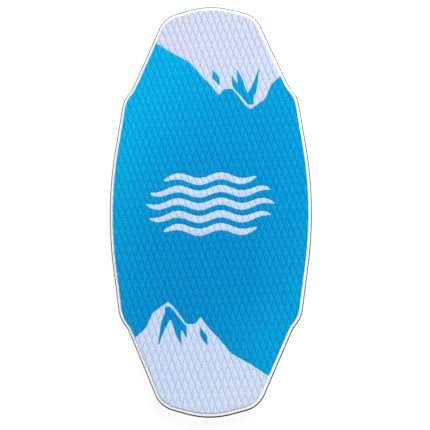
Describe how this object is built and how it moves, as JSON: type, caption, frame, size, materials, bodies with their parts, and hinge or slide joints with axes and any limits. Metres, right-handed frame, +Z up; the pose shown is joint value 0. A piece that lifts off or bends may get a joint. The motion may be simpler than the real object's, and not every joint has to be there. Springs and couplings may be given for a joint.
{
  "type": "skimboard",
  "caption": "Thin twin-tip skimboard: a rounded wooden core between white gloss sheets, lifted at both ends, with a full-deck diamond-grooved foam traction pad in blue and white.",
  "frame": {"origin": "middle of the flat bottom, on the surface that the board lies on", "axes": "+Y towards the nose, +X to the right seen from above with the nose away, +Z up out of the deck"},
  "size_m": [0.5098, 1.039, 0.0418],
  "materials": {
    "white_gloss": "gloss white laminate",
    "long_grain_veneer": "dark stained veneer with a matte sealed rail",
    "cross_grain_veneer": "dark stained cross-grain veneer with a matte sealed rail",
    "adhesive_film": "translucent acrylic adhesive film",
    "blue_foam": "matte closed-cell foam with moulded diamond grooves",
    "white_foam": "matte closed-cell foam with moulded diamond grooves"
  },
  "bodies": {
    "root": {"base_sheet": "white_gloss", "core_ply_1": "long_grain_veneer", "core_ply_2": "cross_grain_veneer", "core_ply_3": "long_grain_veneer", "core_ply_4": "cross_grain_veneer", "core_ply_5": "long_grain_veneer", "deck_sheet": "white_gloss", "pad_adhesive": "adhesive_film", "pad_field": "blue_foam", "nose_snow_panel": "white_foam", "nose_crevasse": "blue_foam", "nose_sliver": "blue_foam", "tail_snow_panel": "white_foam", "tail_crevasse": "blue_foam", "tail_sliver": "blue_foam", "emblem_wave_1": "white_foam", "emblem_wave_2": "white_foam", "emblem_wave_3": "white_foam", "emblem_wave_4": "white_foam", "emblem_wave_5": "white_foam"}
  },
  "joints": []
}
